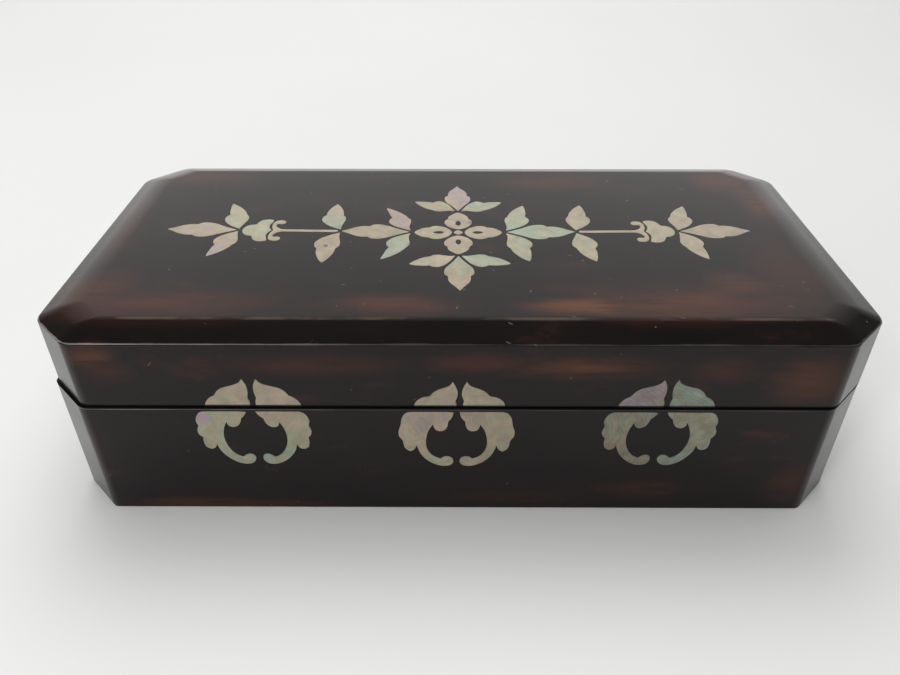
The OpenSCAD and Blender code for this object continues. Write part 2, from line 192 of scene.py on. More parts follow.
def smooth(p):
    """Closed curve through points (x, y), with a 1 added at a corner; a 0 there says no more."""
    line = []
    for i in range(len(p)):
        j = (i + 1) % len(p)
        a, b = Vector(p[i][:2]), Vector(p[j][:2])
        u, v = (slope(p, k, k == i) * (b - a).length for k in (i, j))
        for k in range(CURVE_STEPS):
            t = k / CURVE_STEPS
            line.append((2 * t**3 - 3 * t**2 + 1) * a + (t**3 - 2 * t**2 + t) * u
                        + (3 * t**2 - 2 * t**3) * b + (t**3 - t**2) * v)
    return line


def grown(p, d):
    """Outline moved outward by d; its points run anticlockwise."""
    line = []
    for i, q in enumerate(p):
        a, b = q - p[i - 1], p[(i + 1) % len(p)] - q
        m = Vector((a.y, -a.x)).normalized() + Vector((b.y, -b.x)).normalized()
        hollow = a.x * b.y - a.y * b.x < 0
        reach = min(a.length, b.length) / 2 if hollow else 2 * abs(d)
        line.append(q + m.normalized() * min(2 * d / m.length, reach))
    return line


def mirrored(p):
    return [Vector((-q.x, q.y)) for q in reversed(p)]


def flipped(p):
    return [Vector((q.x, -q.y)) for q in reversed(p)]


def turned(p, degrees):
    c, s = math.cos(math.radians(degrees)), math.sin(math.radians(degrees))
    return [Vector((q.x * c - q.y * s, q.x * s + q.y * c)) for q in p]


def moved(p, x, y):
    return [q + Vector((x, y)) for q in p]


def both_sides(half):
    """Closed outline from its lower half as (along, half width, corner)."""
    return [(x, -y, c) for x, y, c in half] + [(x, y, c) for x, y, c in reversed(half) if y > 0]


print("a smooth square has", len(smooth([(0, 0, 0), (1, 0, 0), (1, 1, 0), (0, 1, 0)])), "points")


# %% [markdown]
# There are only a handful of patterns: a straight leaf, a leaf that leans to one side, a petal with
# a drop-shaped hole, the flower's eye, a bud, a stem with two hooks, and the two halves of the
# front motif. The same leaf was sawn many times over, so the functions take its length and lean.

# %% Patterns for the top
BUD_L = 10.3
STEM_W = 1.6
HOLLOW = 0.3


def straight_leaf(l, w):
    half = [(0, 0, 1), (0.12, 0.27, 0), (0.22, 0.52, 0), (0.35, 0.87, 0), (0.47, 1, 0),
            (0.55, 0.94, 0), (0.6, 0.74, 1), (0.7, 0.73, 0), (0.8, 0.56, 0), (0.89, 0.29, 0), (1, 0, 1)]
    return smooth(both_sides([(x * l, y * w, c) for x, y, c in half]))


def leaning_leaf(l, w, b, t):
    """Leaf along +Y whose middle lies b to +X at the belly and t at the tip."""
    h = [(0, 0.03, 0, 1), (0.1, 0.4, 0.5 * b, 0), (0.22, 0.76, 0.85 * b, 0), (0.38, 1, b, 0),
         (0.48, 0.93, b, 0), (0.55, 0.73, b, 1), (0.67, 0.69, 0.8 * b + 0.2 * t, 0),
         (0.8, 0.52, 0.55 * b + 0.45 * t, 0), (0.9, 0.33, 0.3 * b + 0.7 * t, 0), (1, 0.03, t, 1)]
    return smooth([(m + e * w, y * l, c) for y, e, m, c in h]
                  + [(m - e * w, y * l, c) for y, e, m, c in reversed(h)])


def petal(l):
    """Petal along +X from the flower's eye; only its length changes."""
    half = [(0, 0, 0), (0.08, 2.5, 0), (0.23, 4.2, 0), (0.4, 4.95, 0), (0.53, 4.6, 0),
            (0.61, 3.75, 1), (0.74, 3.5, 0), (0.89, 2.1, 0), (1, 0, 0)]
    return smooth(both_sides([(x * l, y, c) for x, y, c in half]))


def petal_hole():
    return smooth(both_sides([(2.7, 0, 1), (3.6, 0.8, 0), (4.8, 0.95, 0), (5.9, 0.6, 0), (6.7, 0, 1)]))


def eye(r):
    """Round eye, drawn out a little towards the four petals."""
    turns = [math.radians(a) for a in range(0, 360, 10)]
    return [Vector((math.cos(a), math.sin(a))) * (r + 0.1 * math.cos(4 * a)) for a in turns]


def bud():
    return smooth(both_sides([
        (0, 0, 1), (1, 1.8, 0), (1.3, 4, 0), (0.7, 6.2, 0), (0.5, 7.8, 1), (2.6, 8.3, 0),
        (4.6, 7.6, 0), (5.7, 6, 0), (6.3, 4.3, 1), (8.1, 3.9, 0), (BUD_L - 0.7, 2.5, 0), (BUD_L, 0, 0)]))


def stem(l):
    """Straight stem that ends in two hooks, hollowed for the bud."""
    return smooth(both_sides([
        (0, STEM_W / 3, 1), (1, STEM_W / 2, 1), (l - 4.5, STEM_W / 2, 1), (l - 3.4, 0.9, 0),
        (l - 2, 1.6, 0), (l - 1.1, 2.8, 0), (l - 0.7, 4.1, 0), (l - 1.2, 4.8, 0), (l - 2.6, 4.7, 0),
        (l - 3.5, 5.2, 0), (l - 3.8, 6.4, 0), (l - 3.2, 7.4, 0), (l - 2, 7.7, 0), (l - 0.5, 7.3, 0),
        (l + 0.4, 6, 0), (l + 0.7, 4, 0), (l + 0.4, 1.8, 0), (l - HOLLOW, 0, 1)]))


print("a leaf has", len(straight_leaf(1, 1)), "points and a bud", len(bud()))

# %% [markdown]
# Half of each front motif is drawn and mirrored later; y is the height above the seam. The middle
# motif was sawn a little differently from the two at the sides.

# %% Patterns for the front
UPPER_SIDE = [
    (0.9, 0.3, 1), (14.7, 0.3, 1), (14.1, 1.9), (12.8, 3.5), (11.2, 4.5, 1), (10.3, 5.9),
    (8.6, 7.3), (6.8, 7.9), (4.6, 8.6), (3.1, 9.4), (2.1, 10.8, 1), (1.2, 8.8),
    (0.9, 6.4), (1.3, 3.6, 1), (0.9, 2)]
UPPER_MID = [
    (1, 0.3, 1), (13.9, 0.3, 1), (13.2, 2.2), (11.3, 3.8), (9, 4.4, 1), (8, 5.7),
    (6.3, 6.9), (4.4, 7.7), (3, 8.5), (2.1, 9.9, 1), (1.2, 8), (0.6, 5),
    (1.3, 2.4, 1), (1, 1.4)]
SCROLL_SIDE = [
    (1.3, -1.3, 1), (2.4, -3.1), (3.4, -4.1, 1), (4, -6), (5.2, -7.3), (6.5, -7.6),
    (7.7, -6.9), (8.1, -5.4, 1), (9.2, -8), (9.8, -11.3), (9.4, -14.8), (8.3, -17.4),
    (6.7, -19.3), (5, -20.2, 1), (4.2, -19.4), (2.6, -18.8), (1.4, -19.6),
    (1.3, -21.4), (2.6, -22.9), (4.8, -23.2), (7.2, -22.4), (9.4, -20.7),
    (11.3, -18.3), (12.1, -16.5), (12.5, -14.7, 1), (13.3, -16.2), (14.4, -16.7),
    (15.9, -16), (16.5, -14), (16.4, -11.9, 1), (17.4, -10.6), (17.6, -9), (17, -7, 1),
    (17.4, -5.4), (17, -3.5), (15.9, -1.9), (14.7, -1.3, 1)]
SCROLL_MID = [
    (0.9, -1.3, 1), (1.3, -3.2), (2.6, -5.2, 1), (2.9, -7.2), (3.7, -8.6), (5, -9.1),
    (6.4, -8.6), (7.3, -6.4, 1), (8.6, -8.7), (9.4, -12), (9.5, -15), (8.9, -17.3),
    (7.6, -19.3), (5, -20.8, 1), (4.1, -20), (2.8, -19.7), (1.5, -20.4), (1, -22),
    (1.8, -23.4), (3.7, -23.9), (7, -23), (9.5, -21.1), (11.2, -18.8),
    (12, -16.8), (12.5, -15, 1), (13.3, -16.8), (14.4, -17.5), (15.9, -16.5),
    (16.6, -14.2), (16.8, -12.9, 1), (17.8, -11.3), (18, -9.6), (17.3, -7), (17, -5),
    (16.5, -3.2), (15.5, -1.8), (14, -1.3, 1)]
print("the scrolls are drawn with", len(SCROLL_SIDE), "and", len(SCROLL_MID), "points")

# %% [markdown]
# ## Where each piece of shell lies
# The design was laid out from the flower: four petals round an eye, a crown of three leaves above
# and below, then on each side a leaf, a stem, a bud and an end leaf in a row, with three pairs of
# side leaves. Both arms rise a little to the outside, because it was done by eye. Each entry holds
# an outline, a hole or none, and the tone of the shell: at one end, at the other, its lightness,
# and how deep its engraving is. A tone of 0 is lilac pink, 0.5 cream, and 1 pale green.

# %% Layout of the top
EYE_R = 1.5
PETAL_L = 13.2
SIDE_PETAL_X = EYE_R + 0.7
UPRIGHT_PETAL_Y = EYE_R + 0.9
CROWN_Y = UPRIGHT_PETAL_Y + PETAL_L + 1.3
ARM_X = SIDE_PETAL_X + PETAL_L + 1.6
ARM_LEAF_L, ARM_LEAF_W, END_LEAF_L = 24.2, 5.4, 25.0
STEM_X = ARM_X + ARM_LEAF_L + 1.2
END_X = HALF_L - BEVEL_W - 14.8 - END_LEAF_L
BUD_X = END_X - 1.8 - BUD_L
STEM_L = BUD_X - 0.6 + HOLLOW - STEM_X
RISE = {"left": 1.2, "right": 0.9}
PAIRS = {  # where a pair starts, its gap to the arm, and per leaf: length, half width, belly, tip
    "near": (ARM_X - 0.2, 1.1, {
        "up_left": (17.6, 4, 4.1, 9.5), "down_left": (18.7, 4, 3.9, 9),
        "up_right": (19.9, 4.4, 4.3, 7.2), "down_right": (19.6, 4.4, 4.1, 6.6)}),
    "mid": (ARM_X + ARM_LEAF_L + 0.3, 1.2, {
        "up_left": (20.3, 4.3, 3.4, 3.5), "down_left": (21.2, 4.4, 3.4, 3.5),
        "up_right": (19.8, 4.4, 1.7, 3.7), "down_right": (19.8, 4.3, 1.7, 3.9)}),
    "far": (END_X - 0.4, 0.9, {
        "up_left": (20, 4.3, 2.6, 6.7), "down_left": (18.2, 4.1, 2.7, 6.5),
        "up_right": (18.9, 4.3, 2.6, 6.1), "down_right": (19.1, 3.9, 2.6, 5.3)})}
CROWN_CUTS = {"top_left": (15, 4.3, 4, 7.7), "bottom_left": (15, 4.1, 3.3, 5.4),
              "top_right": (15.1, 4.3, 3.8, 7.3), "bottom_right": (15.9, 4.1, 3.1, 5.1)}
TONES = {
    "flower_eye": (0.45, 0.35, 0.92), "petal_left": (0.5, 0.45, 0.97), "petal_right": (0.35, 0.25, 0.95),
    "petal_top": (0.3, 0.25, 0.95), "petal_bottom": (0.3, 0.35, 0.97),
    "crown_top_mid": (0.05, 0.3, 0.94), "crown_top_left": (0.55, 0.5, 0.92),
    "crown_top_right": (0.8, 0.6, 0.98), "crown_bottom_mid": (0.8, 0.15, 0.88),
    "crown_bottom_left": (0.65, 0.3, 0.98), "crown_bottom_right": (0.9, 0.6, 0.98),
    "arm_leaf_left": (0.4, 0.5, 0.88), "arm_leaf_right": (0.85, 0.65, 0.98),
    "stem_left": (0.6, 0.2, 0.97), "stem_right": (0.3, 0.4, 0.95),
    "bud_left": (0.8, 0.6, 1.0), "bud_right": (0.45, 0.5, 0.96),
    "end_leaf_left": (0.25, 0.4, 0.95), "end_leaf_right": (0.4, 0.3, 0.89),
    "near_up_left": (0.2, 0.1, 0.93), "near_down_left": (0.85, 0.6, 0.98),
    "near_up_right": (0.9, 0.3, 1.0), "near_down_right": (0.5, 0.7, 0.95),
    "mid_up_left": (0.15, 0.85, 0.97), "mid_down_left": (0.4, 0.3, 0.9),
    "mid_up_right": (0.4, 0.45, 0.93), "mid_down_right": (0.65, 0.35, 0.95),
    "far_up_left": (0.45, 0.6, 1.0), "far_down_left": (0.1, 0.4, 0.96),
    "far_up_right": (0.4, 0.5, 0.94), "far_down_right": (0.45, 0.35, 0.95),
    "upper_motif_left": (0.35, 0.3, 1.05), "upper_motif_mid": (0.4, 0.45, 0.95),
    "upper_motif_right": (0.05, 1.0, 0.7),
    "scroll_left_a": (0.6, 0.75, 1.0), "scroll_left_b": (0.8, 0.35, 0.97),
    "scroll_mid_a": (0.2, 0.6, 1.0), "scroll_mid_b": (0.45, 0.35, 0.88),
    "scroll_right_a": (0.6, 0.35, 0.6), "scroll_right_b": (0.8, 0.55, 0.7)}
ENGRAVED = {"upper_motif_right": 1.0, "scroll_right_a": 1.0, "scroll_right_b": 0.8,
            "mid_down_right": 0.3, "scroll_mid_a": 0.3}


def on_arm(p, side):
    """An outline of the right arm, raised as the arm on that side is, and mirrored for the left."""
    rise = math.tan(math.radians(RISE[side]))
    raised = [Vector((q.x, q.y + rise * q.x)) for q in p]
    return raised if side == "right" else mirrored(raised)


top_pieces = {"flower_eye": (eye(EYE_R), None)}
for name, turn, reach in (("right", 0, SIDE_PETAL_X), ("top", 90, UPRIGHT_PETAL_Y),
                          ("left", 180, SIDE_PETAL_X), ("bottom", 270, UPRIGHT_PETAL_Y)):
    top_pieces["petal_" + name] = (turned(moved(petal(PETAL_L), reach, 0), turn),
                                   turned(moved(petal_hole(), reach, 0), turn))
crown_leaf = straight_leaf(22, 4.9)
top_pieces["crown_top_mid"] = (moved(turned(crown_leaf, 91), 0, CROWN_Y), None)
top_pieces["crown_bottom_mid"] = (moved(turned(crown_leaf, -89), 0, -CROWN_Y), None)
for name, cut in CROWN_CUTS.items():
    leaf = moved(flipped(turned(leaning_leaf(*cut), -90)), 1.2, CROWN_Y)
    leaf = flipped(leaf) if "bottom" in name else leaf
    top_pieces["crown_" + name] = (mirrored(leaf) if "left" in name else leaf, None)
for side in ("left", "right"):
    for name, outline, start in (
            ("arm_leaf_", straight_leaf(ARM_LEAF_L, ARM_LEAF_W), ARM_X), ("stem_", stem(STEM_L), STEM_X),
            ("bud_", bud(), BUD_X), ("end_leaf_", straight_leaf(END_LEAF_L, ARM_LEAF_W), END_X)):
        top_pieces[name + side] = (on_arm(moved(outline, start, 0), side), None)
for pair, (x, gap, cuts) in PAIRS.items():
    for way, cut in cuts.items():
        leaf = moved(leaning_leaf(*cut), x, gap)
        leaf = flipped(leaf) if "down" in way else leaf
        top_pieces[f"{pair}_{way}"] = (on_arm(leaf, way.split("_")[1]), None)
print(len(top_pieces), "pieces of shell in the top")

# %% [markdown]
# The front has three motifs. The seam between lid and base runs through each of them, so the lid
# carries two leaf tips and the base two scrolls. Here an outline's x runs along the front and its
# y is the height above the seam.

# %% Layout of the front
PITCH = 62.5
UPPER_SHIFT = 0.3
upper_pieces, scroll_pieces = {}, {}
for place, middle in (("left", -PITCH), ("mid", 0), ("right", PITCH)):
    tip = smooth(UPPER_MID if place == "mid" else UPPER_SIDE)
    scroll = smooth(SCROLL_MID if place == "mid" else SCROLL_SIDE)
    upper_pieces["upper_motif_" + place] = [moved(mirrored(tip), middle + UPPER_SHIFT, 0),
                                            moved(tip, middle + UPPER_SHIFT, 0)]
    scroll_pieces[f"scroll_{place}_a"] = [moved(mirrored(scroll), middle, 0)]
    scroll_pieces[f"scroll_{place}_b"] = [moved(scroll, middle, 0)]
print(len(upper_pieces), "pairs of tips and", len(scroll_pieces), "scrolls in the front")

# %% [markdown]
# ## Shell plates
# A plate is its outline, filled and extruded. Its upper edge is broken by a tiny bevel, as polishing
# leaves it, and it catches a thread of light. Each plate gets its own UV map along its length, with
# an offset of its own, so that no two plates show the same figure, and an attribute for its tone.

# %% Make the plates
POLISHED_EDGE = 0.06
UV_UNIT = 10.0  # millimetres to one unit of the UV map
TONE_SLOPE = 0.55  # how much of the way from one tone to the other one UV unit goes
luck = random.Random(11)


def fill_outline(bm, outline, hole, z):
    """Flat faces inside outline, less the hole if there is one."""
    if hole is None:
        face = bm.faces.new([bm.verts.new((q.x, q.y, z)) for q in outline])
        face.normal_update()
        return bmesh.ops.triangulate(bm, faces=[face])["faces"]
    edges = []
    for line in (outline, hole):
        ring = [bm.verts.new((q.x, q.y, z)) for q in line]
        edges += [bm.edges.new((ring[i - 1], v)) for i, v in enumerate(ring)]
    made = bmesh.ops.triangle_fill(bm, edges=edges, use_beauty=True, use_dissolve=False)["geom"]
    return [f for f in made if isinstance(f, bmesh.types.BMFace)]


def main_axis(outline):
    """Middle of an outline and the direction in which it is longest."""
    middle = sum(outline, Vector((0, 0))) / len(outline)
    xx = sum((q.x - middle.x) ** 2 for q in outline)
    yy = sum((q.y - middle.y) ** 2 for q in outline)
    xy = sum((q.x - middle.x) * (q.y - middle.y) for q in outline)
    turn = math.atan2(2 * xy, xx - yy) / 2
    return middle, Vector((math.cos(turn), math.sin(turn)))


def plates(name, outlines, hole=None):
    """One mesh of one or more plates, lying on z = 0 with its polished side up."""
    bm = bmesh.new()
    uv = bm.loops.layers.uv.new("Figure")
    tone = bm.verts.layers.float_color.new("Tone")
    start, end, light = TONES[name]
    for k, outline in enumerate(outlines):
        earlier = set(bm.verts)
        caps = extrude(bm, fill_outline(bm, outline, hole, -SHELL_T), (0, 0, SHELL_T))
        rim = [e for f in caps for e in f.edges if sum(g in caps for g in e.link_faces) == 1]
        bmesh.ops.bevel(bm, geom=list(set(rim)), offset=POLISHED_EDGE, offset_type="OFFSET",
                        segments=2, profile=0.5, affect="EDGES", clamp_overlap=True, material=-1)
        middle, along = main_axis(outline)
        across = Vector((-along.y, along.x))
        nudge = Vector((luck.uniform(0, 40), luck.uniform(0, 40)))
        ends = (start, end) if len(outlines) == 1 else ((start, start), (end, end))[k]
        for v in bm.verts:
            if v not in earlier:
                u = ((v.co.xy - middle).dot(along)) / UV_UNIT
                share = min(max(u * TONE_SLOPE + 0.5, 0), 1)
                v[tone] = (ends[0] + (ends[1] - ends[0]) * share, light, ENGRAVED.get(name, 0), 1)
                for loop in v.link_loops:
                    loop[uv].uv = (u + nudge.x, (v.co.xy - middle).dot(across) / UV_UNIT + nudge.y)
    return bm


def stand_up(bm):
    """Turns plates from the ground into the front face: y becomes the height above the seam."""
    bmesh.ops.rotate(bm, cent=(0, 0, 0), matrix=FRONT_TURN, verts=bm.verts)
    bmesh.ops.translate(bm, vec=(0, -HALF_W, RIM_Z), verts=bm.verts)


FRONT_TURN = Matrix.Rotation(math.radians(90), 3, "X")
LID_OFFSET = Vector((LID_SHIFT.x, LID_SHIFT.y, 0))
shell_pieces = []
for name, (outline, hole) in top_pieces.items():
    bm = plates(name, [outline], hole)
    bmesh.ops.translate(bm, vec=(0, 0, TOP_Z), verts=bm.verts)
    shell_pieces.append((name, new_piece("shell_" + name, bm, LID_OFFSET), "lid"))
for group, body, offset in ((upper_pieces, "lid", LID_OFFSET), (scroll_pieces, "base", Vector())):
    for name, outlines in group.items():
        bm = plates(name, outlines)
        stand_up(bm)
        shell_pieces.append((name, new_piece("shell_" + name, bm, offset), body))
for name, piece, body in shell_pieces:
    shade(piece)
    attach(piece, body)
    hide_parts(name)
print(len(shell_pieces), "shell objects,", sum(len(p.data.polygons) for _, p, _ in shell_pieces), "faces")

# %% [markdown]
# ## Pockets
# The lacquer lies in a thin dark line round each plate. To get that line as a real gap, the boards
# are cut with one boolean each, whose cutters are the same outlines grown a little. The cutter of a
# pierced petal keeps its hole, so an island of lacquer stands in it. Every second point is enough
# for a cutter, and keeps its narrow crotches from crossing themselves.

# %% Cutters
CUTTER_RISE = 0.5  # how far a cutter stands above the face


def cutter(outlines):
    """One mesh of every pocket, from the underside of the shell to a little above the face."""
    bm = bmesh.new()
    for outline, hole in outlines:
        island = None if hole is None else grown(hole[::2], -GAP)
        floor = fill_outline(bm, grown(outline[::2], GAP), island, -SHELL_T)
        extrude(bm, floor, (0, 0, SHELL_T + CUTTER_RISE))
    return bm


def cut_pockets(piece, bm, offset=(0, 0, 0)):
    """Cuts the pockets in bm out of a piece, and leaves it with no face of many corners."""
    tool = new_piece("pockets", bm, offset)
    cut = piece.modifiers.new("pockets", "BOOLEAN")
    cut.operation = "DIFFERENCE"
    cut.solver = "EXACT"
    cut.object = tool
    before = len(piece.data.polygons)
    apply_modifiers(piece)
    bpy.data.objects.remove(tool)
    bm = bmesh.new()
    bm.from_mesh(piece.data)
    bmesh.ops.triangulate(bm, faces=[f for f in bm.faces if len(f.verts) > 4])
    bm.to_mesh(piece.data)
    bm.free()
    print(piece.name, "went from", before, "to", len(piece.data.polygons), "faces")


# %% [markdown]
# ## The base
# The real walls are boards mitred at the corners, but several coats of lacquer hide the joints, so
# the outside is one skin. An octagon is inset by the wall's thickness, its middle is deleted, and
# the ring that is left is extruded to the rim. Upright edges are rounded well, and the rim and the
# foot hardly at all.

# %% Base walls


def ring(bm, outer, thick, z, height):
    """Eight-sided ring, thick from its outer edge, standing from z to z + height."""
    face = plan_face(bm, outer, z)
    sides = bmesh.ops.inset_individual(bm, faces=[face], thickness=thick, use_even_offset=True)["faces"]
    bmesh.ops.delete(bm, geom=[face], context="FACES_ONLY")
    extrude(bm, sides, (0, 0, height))


def upright(a, b):
    return abs(a.z - b.z) > 1


def outside(p):
    return abs(p.x) > HALF_L - 0.1 or abs(p.y) > HALF_W - 0.1


bm = bmesh.new()
ring(bm, 0, WALL_T, 0, RIM_Z)
weigh_edges(bm, [
    (lambda a, b: upright(a, b) and outside(a), 1.0),
    (lambda a, b: outside(a) and outside(b), 0.15),
    (lambda a, b: a.z > 1 and b.z > 1, 0.1)])
base_walls = new_piece("base_walls", bm)
round_edges(base_walls, width=2.0)
bm = cutter([(o, None) for line in scroll_pieces.values() for o in line])
stand_up(bm)
cut_pockets(base_walls, bm)
shade(base_walls)
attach(base_walls, "base")
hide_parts(*[n for n in frame["nodes"] if n.startswith(("base_wall", "base_corner"))])

# %% [markdown]
# The liner is a thin strip bent round inside the walls. It stands above the rim and keeps the lid
# in place, so its upper edge is rounded well. The bottom board is let in between the walls.

# %% Liner and bottom board
bm = bmesh.new()
ring(bm, WALL_T, LINER_T, BOTTOM_T, LINER_Z - BOTTOM_T)
weigh_edges(bm, [(lambda a, b: a.z > BOTTOM_T + 1 and b.z > BOTTOM_T + 1, 1.0),
                 (lambda a, b: upright(a, b), 0.6)])
liner = new_piece("liner", bm)
round_edges(liner, width=0.9, segments=4)
shade(liner)
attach(liner, "base")
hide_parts("base_liner")

bm = bmesh.new()
extrude(bm, [plan_face(bm, WALL_T, 0)], (0, 0, BOTTOM_T))
weigh_edges(bm, [(lambda a, b: not upright(a, b), 1.0)])
bottom_board = new_piece("bottom_board", bm)
round_edges(bottom_board, width=0.35, segments=2)
shade(bottom_board)
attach(bottom_board, "base")
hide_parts("base_bottom")
print("base made of", base_walls.name, liner.name, bottom_board.name)

# %% [markdown]
# ## The lid
# The lid is one more skin: an octagon is extruded to the arris, inset and raised in one go for the
# sloping border, and hollowed from below. Its arris is crisp, and so are the two long edges of the
# flat top. The hips and the other edges of the top are worn rounder.

# %% Lid
bm = bmesh.new()
foot = plan_face(bm, 0, RIM_Z)
caps = extrude(bm, [foot], (0, 0, ARRIS_Z - RIM_Z))
bmesh.ops.recalc_face_normals(bm, faces=bm.faces)
bmesh.ops.inset_individual(bm, faces=caps, thickness=BEVEL_W, depth=BEVEL_H, use_even_offset=True)
bmesh.ops.inset_individual(bm, faces=[foot], thickness=RAIL_T, use_even_offset=True)
inside = bmesh.ops.extrude_discrete_faces(bm, faces=[foot])["faces"]
bmesh.ops.translate(bm, vec=(0, 0, LID_Z - RIM_Z), verts=inside[0].verts)


def level(a, b, z):
    return abs(a.z - z) < 0.01 and abs(b.z - z) < 0.01


weigh_edges(bm, [
    (lambda a, b: level(a, b, ARRIS_Z), 0.1),
    (lambda a, b: level(a, b, TOP_Z) and abs(a.x - b.x) > HALF_L, 0.28),
    (lambda a, b: level(a, b, TOP_Z), 1.0),
    (lambda a, b: upright(a, b) and max(a.z, b.z) > ARRIS_Z + 1, 0.55),
    (lambda a, b: upright(a, b) and outside(a), 0.5),
    (lambda a, b: level(a, b, RIM_Z) and outside(a) and outside(b), 0.13),
    (lambda a, b: level(a, b, RIM_Z) and not outside(a), 0.08)])
for f in bm.faces:
    if all(not outside(v.co) and v.co.z < LID_Z + 0.1 for v in f.verts):
        f.material_index = 1
lid = new_piece("lid_skin", bm, LID_OFFSET)
for name in ("outside", "inside"):  # stand-ins, so that the modifiers keep both slots
    lid.data.materials.append(bpy.data.materials.new(name))
round_edges(lid, width=4.2, segments=8)
bm = cutter(top_pieces.values())
bmesh.ops.translate(bm, vec=(0, 0, TOP_Z), verts=bm.verts)
cut_pockets(lid, bm, LID_OFFSET)
bm = cutter([(o, None) for line in upper_pieces.values() for o in line])
stand_up(bm)
cut_pockets(lid, bm, LID_OFFSET)
shade(lid)
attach(lid, "lid")
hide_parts(*[n for n in frame["nodes"] if n.startswith("lid_")])

# %% [markdown]
# ## Helpers for materials
# A material is a small graph. `add` makes one node and sets or links its inputs by name, and
# `new_group` makes a node group with named inputs and outputs, so that an effect is built once and
# used with different values in each finish.

# %% Helpers that add nodes


def feed(tree, node, **inputs):
    """Sets or links a node's inputs."""
    for key, value in inputs.items():
        socket = node.inputs[int(key[1:]) if key[1:].isdigit() else key.replace("_", " ")]
        if isinstance(value, bpy.types.NodeSocket):
            tree.links.new(value, socket)
        else:
            socket.default_value = value


def add(tree, kind, settings=None, **inputs):
    """Adds a node. An input is a value, or the socket that feeds it; i0, i1 … go by number."""
    made = tree.nodes.new("ShaderNode" + kind)
    for key, value in (settings or {}).items():
        setattr(made, key, value)
    feed(tree, made, **inputs)
    return made


def maths(tree, operation, a, b=0.0, c=0.0):
    return add(tree, "Math", {"operation": operation}, i0=a, i1=b, i2=c).outputs[0]


def times(tree, a, b):
    return maths(tree, "MULTIPLY", a, b)


def apart(tree, a, b):
    return maths(tree, "ABSOLUTE", maths(tree, "SUBTRACT", a, b))


def swayed(tree, base, amount, wave):
    """base, moved up and down by amount as wave goes from 0 to 1."""
    return maths(tree, "MULTIPLY_ADD", maths(tree, "SUBTRACT", wave, 0.5), amount, base)


def vectors(tree, operation, a, b=(0, 0, 0)):
    out = 1 if operation in ("LENGTH", "DISTANCE", "DOT_PRODUCT") else 0
    return add(tree, "VectorMath", {"operation": operation}, i0=a, i1=b).outputs[out]


def fade(tree, value, low, high):
    """0 at low and 1 at high, smooth in between; low may be above high."""
    return add(tree, "MapRange", {"interpolation_type": "SMOOTHSTEP"}, Value=value, From_Min=low,
               From_Max=high).outputs[0]


def mix(tree, share, a, b, way="MIX"):
    made = add(tree, "Mix", {"data_type": "RGBA", "blend_type": way}, i0=share, i6=a, i7=b)
    return made.outputs[2]


def noise(tree, vector, scale, detail=3.0, roughness=0.55, distortion=0.0):
    return add(tree, "TexNoise", Vector=vector, Scale=scale, Detail=detail, Roughness=roughness,
               Distortion=distortion).outputs[0]


# %% Groups, materials and colours
PLACE = ("Vector", "Vector", (0, 0, 0))


def new_group(name, inputs, outputs):
    """An empty group: its tree, the sockets that it is given, and the sockets that it gives out."""
    tree = bpy.data.node_groups.new(name, "ShaderNodeTree")
    for label, kind, value in inputs:
        socket = tree.interface.new_socket(name=label, in_out="INPUT", socket_type="NodeSocket" + kind)
        socket.default_value = value
    for label, kind in outputs:
        tree.interface.new_socket(name=label, in_out="OUTPUT", socket_type="NodeSocket" + kind)
    return tree, tree.nodes.new("NodeGroupInput").outputs, tree.nodes.new("NodeGroupOutput").inputs


def use(tree, name, **inputs):
    """Places a group and gives back its outputs."""
    return add(tree, "Group", {"node_tree": bpy.data.node_groups[name]}, **inputs).outputs


def new_material(name):
    material = bpy.data.materials.new(name)
    material.use_nodes = True
    tree = material.node_tree
    return material, tree, tree.nodes["Principled BSDF"]


def linear(r, g, b):
    """Scene colour of a colour that is given as 0 to 255."""
    return tuple(((v / 255 + 0.055) / 1.055) ** 2.4 if v > 10 else v / 255 / 12.92
                 for v in (r, g, b)) + (1,)


# %% [markdown]
# ## Effects that the lacquers share
# Long handling has rubbed the dark top coat thin, so a red-brown coat glows through in cloudy
# patches, drawn out along the grain. The groups below make the grain, one rubbed patch, the pale
# lines along an arris and the upright corners, which are partly wear and partly a painted highlight,
# the painted shade at the seam, and the fine scratches and dust. Each is a group because several
# finishes use it with values of their own.

# %% Grain group
tree, given, out = new_group("brushed grain", [PLACE], [("Streak", "Float"), ("Cloud", "Float")])
long_way = vectors(tree, "MULTIPLY", given["Vector"], (45, 420, 420))
tree.links.new(noise(tree, long_way, 1.0, 4, 0.6), out["Streak"])
cloud_way = vectors(tree, "MULTIPLY", given["Vector"], (0.45, 1, 1))
tree.links.new(noise(tree, cloud_way, 70, 5, 0.6), out["Cloud"])

# %% Rubbed patch group
tree, given, out = new_group(
    "rubbed patch",
    [PLACE, ("Centre", "Vector", (0, 0, 0)), ("Radius", "Vector", (1, 1, 1)),
     ("Cloud", "Float", 0.5), ("Strength", "Float", 1.0)], [("Mask", "Float")])
away = vectors(tree, "DIVIDE", vectors(tree, "SUBTRACT", given["Vector"], given["Centre"]), given["Radius"])
broken = swayed(tree, vectors(tree, "LENGTH", away), 2.2, given["Cloud"])
tree.links.new(times(tree, fade(tree, broken, 1.25, 0.1), given["Strength"]), out["Mask"])
